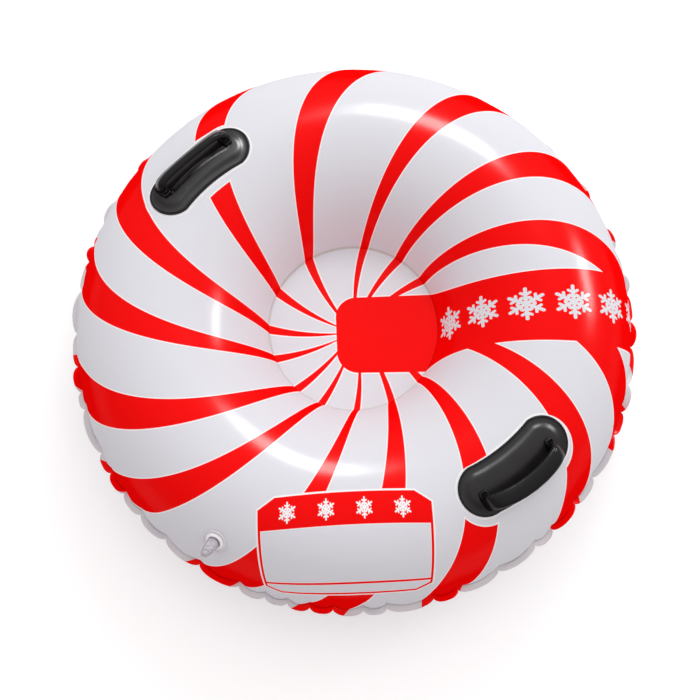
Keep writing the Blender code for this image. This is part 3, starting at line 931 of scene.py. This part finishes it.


# The clear parts' mottling from grey-violet to white is painted refraction and glints
CLEAR = clear_moulding(
    "clear moulding", dark=(0.52, 0.48, 0.56, 1), light=(0.98, 0.98, 1.0, 1),
    roughness=0.07, clearness=0.50)
# The stem's lower part is painted dark violet: painted shade and refraction where it rises out of
# the collar
PAINTED_SHADE_MOULDING = clear_moulding(
    "painted_shade moulding", dark=(0.20, 0.13, 0.20, 1), light=(0.52, 0.44, 0.54, 1),
    roughness=0.07, clearness=0.40)
MILKY = clear_moulding(
    "milky moulding", dark=(0.76, 0.74, 0.79, 1), light=(0.84, 0.83, 0.87, 1),
    roughness=0.14, clearness=0.06)
# The collar: white moulding, made as bright as the glare on its lip, so partly a painted highlight
WHITE_AND_GLARE_MOULDING = clear_moulding(
    "chalky moulding", dark=(0.97, 0.97, 0.98, 1), light=(0.99, 0.99, 0.99, 1),
    roughness=0.30, clearness=0.0)
valve_radius, valve_height, valve_lean = at_arc(VALVE_FROM_RIM)
valve_foot = Vector((valve_radius * cos(VALVE_ANGLE), valve_radius * sin(VALVE_ANGLE),
                     SEAM_HEIGHT + SHEET_LIFT + valve_height))
VALVE_AXIS = (Matrix.Translation(valve_foot) @ Matrix.Rotation(VALVE_ANGLE, 4, "Z")
              @ Matrix.Rotation(pi / 2 - valve_lean, 4, "Y"))
TO_VALVE = VALVE_AXIS.inverted()


def cut_valve_hole(mesh):
    """Open the printed skin under the valve's disc, and make the hole's edge round."""
    shape = bmesh.new()
    shape.from_mesh(mesh)
    inside = [vertex for vertex in shape.verts if (TO_VALVE @ vertex.co).length < SKIN_HOLE]
    bmesh.ops.delete(shape, geom=inside, context="VERTS")
    for vertex in shape.verts:
        spot = TO_VALVE @ vertex.co
        if vertex.is_boundary and spot.length < FLANGE_RADIUS * 2:
            flat = Vector((spot.x, spot.y)).normalized() * SKIN_HOLE
            vertex.co = VALVE_AXIS @ Vector((flat.x, flat.y, spot.z))
    shape.to_mesh(mesh)
    shape.free()


cut_valve_hole(top_mesh)


def lathe(name, profile, material, body, *nodes):
    """A turned piece of the valve with its corners rounded by a bevel."""
    rows = [[VALVE_AXIS @ Vector((radius * cos(tau * i / LATHE_STEPS),
                                  radius * sin(tau * i / LATHE_STEPS), height))
             for i in range(LATHE_STEPS)] for radius, height in profile + profile[:1]]
    mesh = grid_mesh(name, rows)
    shape = bmesh.new()
    shape.from_mesh(mesh)
    bmesh.ops.remove_doubles(shape, verts=shape.verts, dist=CLEARANCE / 10)
    bmesh.ops.recalc_face_normals(shape, faces=shape.faces)
    shape.to_mesh(mesh)
    shape.free()
    piece = add_piece(name, mesh, material, body, "clear_moulding", *nodes)
    soften = piece.modifiers.new("soft corners", "BEVEL")
    soften.width = SOFT_CORNER
    soften.segments = CORNER_STEPS
    soften.limit_method = "ANGLE"
    return piece


bore = STEM_ROOT_RADIUS + CLEARANCE
collar = bore + COLLAR_WALL
plate = CLEARANCE + FLANGE_PLATE
bead = FLANGE_RADIUS - DISC_BEAD
lathe("flange_disc", [(FLANGE_RADIUS, plate + DISC_BEAD / 2), (FLANGE_RADIUS, CLEARANCE),
                      (collar, CLEARANCE), (collar, plate), (bead, plate),
                      (bead, plate + DISC_BEAD / 2)],
      MILKY, "tube", "valve_flange")
# The collar's white is partly a painted highlight, standing in for the glare on its lip
lathe("flange_collar", [(collar + COLLAR_SLOPE, plate), (collar, CLEARANCE), (bore, CLEARANCE),
                        (bore, COLLAR_HEIGHT), (bore + COLLAR_LIP, COLLAR_HEIGHT)],
      WHITE_AND_GLARE_MOULDING, "tube", "valve_flange")
lip = STEM_ROOT_RADIUS + STEM_LIP_REACH
strap_low = STEM_HEIGHT - STRAP_RING_DROP
stem = lathe("blowing_stem", [
    (STEM_RADIUS, STEM_HEIGHT), (STEM_RADIUS, strap_low - STEM_LIP),
    (STEM_ROOT_RADIUS, STEM_ROOT_HEIGHT), (STEM_ROOT_RADIUS, 0), (lip, 0), (lip, -STEM_LIP),
    (STEM_RADIUS, -STEM_LIP), (STEM_RADIUS, -STEM_TAIL), (STEM_BORE, -STEM_TAIL),
    (STEM_BORE, STEM_HEIGHT)], CLEAR, "stem", "valve_stem")
# Faces near the stem's root get the painted shade
stem.data.materials.append(PAINTED_SHADE_MOULDING)
for face in stem.data.polygons:
    if (TO_VALVE @ face.center).z < PAINTED_SHADE_HEIGHT:
        face.material_index = 1
seat = STEM_HEIGHT + CLEARANCE
stopper = STEM_BORE - CLEARANCE
crown = seat + PLUG_CAP_HEIGHT
lathe("stopper", [(0, crown), (PLUG_TIP_RADIUS, crown),
                  (PLUG_CAP_RADIUS, seat + PLUG_CAP_HEIGHT / 2), (PLUG_CAP_RADIUS, seat),
                  (stopper, seat), (stopper, seat - PLUG_DEPTH), (0, seat - PLUG_DEPTH)],
      CLEAR, "plug", "valve_plug")
strap_inner = STEM_RADIUS + CLEARANCE
strap_outer = strap_inner + STRAP_WALL
strap_high = strap_low + STRAP_RING_HEIGHT
lathe("strap_ring", [(strap_outer, strap_high), (strap_outer, strap_low),
                     (strap_inner, strap_low), (strap_inner, strap_high)],
      CLEAR, "stem", "plug_strap")


def strap_route():
    """The band's middle line in the valve's own frame, from the ring to the cap, with its
    corners cut round."""
    stand_off = STEM_RADIUS + STRAP_STAND_OFF
    cap_middle = seat + PLUG_CAP_HEIGHT / 4
    route = [Vector(point) for point in (
        (strap_inner + STRAP_WALL / 2, 0, strap_low + STRAP_RING_HEIGHT / 2),
        (stand_off, 0, strap_high + STRAP_WALL), (stand_off, 0, STEM_HEIGHT - STRAP_WALL),
        (stand_off - STRAP_WALL / 2, 0, cap_middle),
        (PLUG_CAP_RADIUS + CLEARANCE, 0, cap_middle + STRAP_WALL / 2))]
    cut = [route[0]]
    for start, end in zip(route, route[1:]):
        cut += [start.lerp(end, CORNER_CUT), start.lerp(end, 1 - CORNER_CUT)]
    cut.append(route[-1])
    return [start.lerp(end, i / STRAP_STEPS) for start, end in zip(cut, cut[1:])
            for i in range(STRAP_STEPS)] + [cut[-1]]


def band_mesh(route):
    """The band: a flat squared section swept along its middle line."""
    rings = []
    for i, middle in enumerate(route):
        run = (route[min(i + 1, len(route) - 1)] - route[max(i - 1, 0)]).normalized()
        square = Vector((-run.z, 0, run.x))
        ring = []
        for k in range(STRAP_SIDES):
            turn = tau * k / STRAP_SIDES
            wide = Vector((0, squared(cos(turn), BAR_SQUARENESS), 0)) * STRAP_WIDTH / 2
            thick = square * squared(sin(turn), BAR_SQUARENESS) * STRAP_WALL / 2
            ring.append(VALVE_AXIS @ (middle + wide + thick))
        rings.append(ring)
    return joined([grid_mesh("plug_band", rings)])


route = strap_route()
band = add_piece("plug_band", band_mesh(route), CLEAR, None, "clear_moulding", "plug_strap")
tuple(VALVE_AXIS @ route[STRAP_STEPS])
tuple(VALVE_AXIS @ route[-STRAP_STEPS])
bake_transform(band)
finish_solid("check_flap", CLEAR)

# Studio
# A white floor and even light, two soft boxes behind the tube on the right, and the camera
# where the photographer stood, looking down at 74 degrees.
CAMERA_TURN = radians(46)
CAMERA_ELEVATION = radians(74.0)
CAMERA_DISTANCE = 1.930
CAMERA_TARGET = -0.0055, -0.0365
FOCAL_PIXELS = 1202.8
IMAGE_PIXELS = 700
FILM = 36
SKY_LOW = 0.40
SKY_HIGH = 1.26
SKY_TINTS = (1.0, 0.88, 0.88, 1), (0.99, 0.995, 1.0, 1)
SKY_LEAN = radians(62)
SKY_TURN = radians(120)
BOX_DISTANCE = 3.0
# Azimuth, elevation, width, height, brightness, and how bright the box shows in the vinyl
SOFT_BOXES = (
    (radians(123), radians(47), 1.00, 0.72, 5.2, 100.0),
    (radians(70), radians(30), 0.66, 0.46, 4.9, 95.0),
)
FLOOR_SIZE = 14
FLOOR_WHITE = 0.93, 0.93, 0.93, 1
PURE_WHITE = 1, 1, 1, 1
FLOOR_LIFT = 0.22

to_camera = Vector((0, -cos(CAMERA_ELEVATION), sin(CAMERA_ELEVATION)))
turned = Matrix.Rotation(CAMERA_TURN, 3, "Z")
middle = Vector((0, 0, SEAM_HEIGHT))
camera_data = bpy.data.cameras.new("camera")
camera_data.sensor_fit = "HORIZONTAL"
camera_data.sensor_width = FILM
camera_data.lens = FILM * FOCAL_PIXELS / IMAGE_PIXELS
camera = bpy.data.objects.new("camera", camera_data)
bpy.context.scene.collection.objects.link(camera)
camera.location = middle + turned @ to_camera * CAMERA_DISTANCE
aim = middle + turned @ Vector((*CAMERA_TARGET, 0))
camera.rotation_euler = (aim - camera.location).to_track_quat("-Z", "Y").to_euler()
bpy.context.scene.camera = camera


def soft_box(azimuth, elevation, width, height, brightness, shows):
    """One face of a soft box: it either lights the tube or shows in its gloss. Its power is
    its brightness times pi times its area."""
    light = bpy.data.lights.new("soft box", "AREA")
    light.shape = "RECTANGLE"
    light.size = width
    light.size_y = height
    light.energy = brightness * pi * width * height
    lamp = bpy.data.objects.new("soft box", light)
    bpy.context.scene.collection.objects.link(lamp)
    ray = Vector((cos(azimuth) * cos(elevation), sin(azimuth) * cos(elevation), sin(elevation)))
    lamp.location = middle + ray * BOX_DISTANCE
    lamp.rotation_euler = ray.to_track_quat("Z", "Y").to_euler()
    lamp.visible_glossy = shows
    lamp.visible_diffuse = not shows


for *place, brightness, shine in SOFT_BOXES:
    soft_box(*place, brightness, False)
    soft_box(*place, shine, True)

world = bpy.data.worlds.new("studio")
world.use_nodes = True
world.node_tree.nodes.clear()
air = Wire(world.node_tree)
in_camera = air.node("ShaderNodeLightPath", {}, {})
brightest = (cos(SKY_TURN) * cos(SKY_LEAN), sin(SKY_TURN) * cos(SKY_LEAN), sin(SKY_LEAN))
towards = air.vector("DOT_PRODUCT", air.node("ShaderNodeTexCoord", {}, {}), brightest, output=1)
sky = towards.above(0) * (SKY_HIGH - SKY_LOW) + SKY_LOW
tint = towards.above(in_camera).mix(*SKY_TINTS)
glow = air.node("ShaderNodeBackground", {}, {0: tint, 1: sky.above(in_camera)})
air.node("ShaderNodeOutputWorld", {}, {0: glow})
bpy.context.scene.world = world

floor_mesh = bpy.data.meshes.new("floor")
half = FLOOR_SIZE / 2
floor_mesh.from_pydata([(-half, -half, 0), (half, -half, 0), (half, half, 0), (-half, half, 0)],
                       [], [(0, 1, 2, 3)])
floor = bpy.data.objects.new("floor", floor_mesh)
bpy.context.scene.collection.objects.link(floor)
white, wire = new_material("white floor")
in_camera = wire.node("ShaderNodeLightPath", {}, {})
in_gloss = Wire(wire.tree, in_camera.socket.node.outputs["Is Glossy Ray"])
through = Wire(wire.tree, in_camera.socket.node.outputs["Is Transmission Ray"])
matt = wire.node("ShaderNodeBsdfDiffuse", {}, {0: FLOOR_WHITE})
lit = wire.node("ShaderNodeEmission", {}, {
    0: PURE_WHITE, 1: in_camera.above(in_gloss, through) * FLOOR_LIFT})
finish_material(wire, wire.node("ShaderNodeAddShader", {}, {0: matt, 1: lit}))
floor_mesh.materials.append(white)

bpy.context.scene.view_settings.view_transform = "Standard"
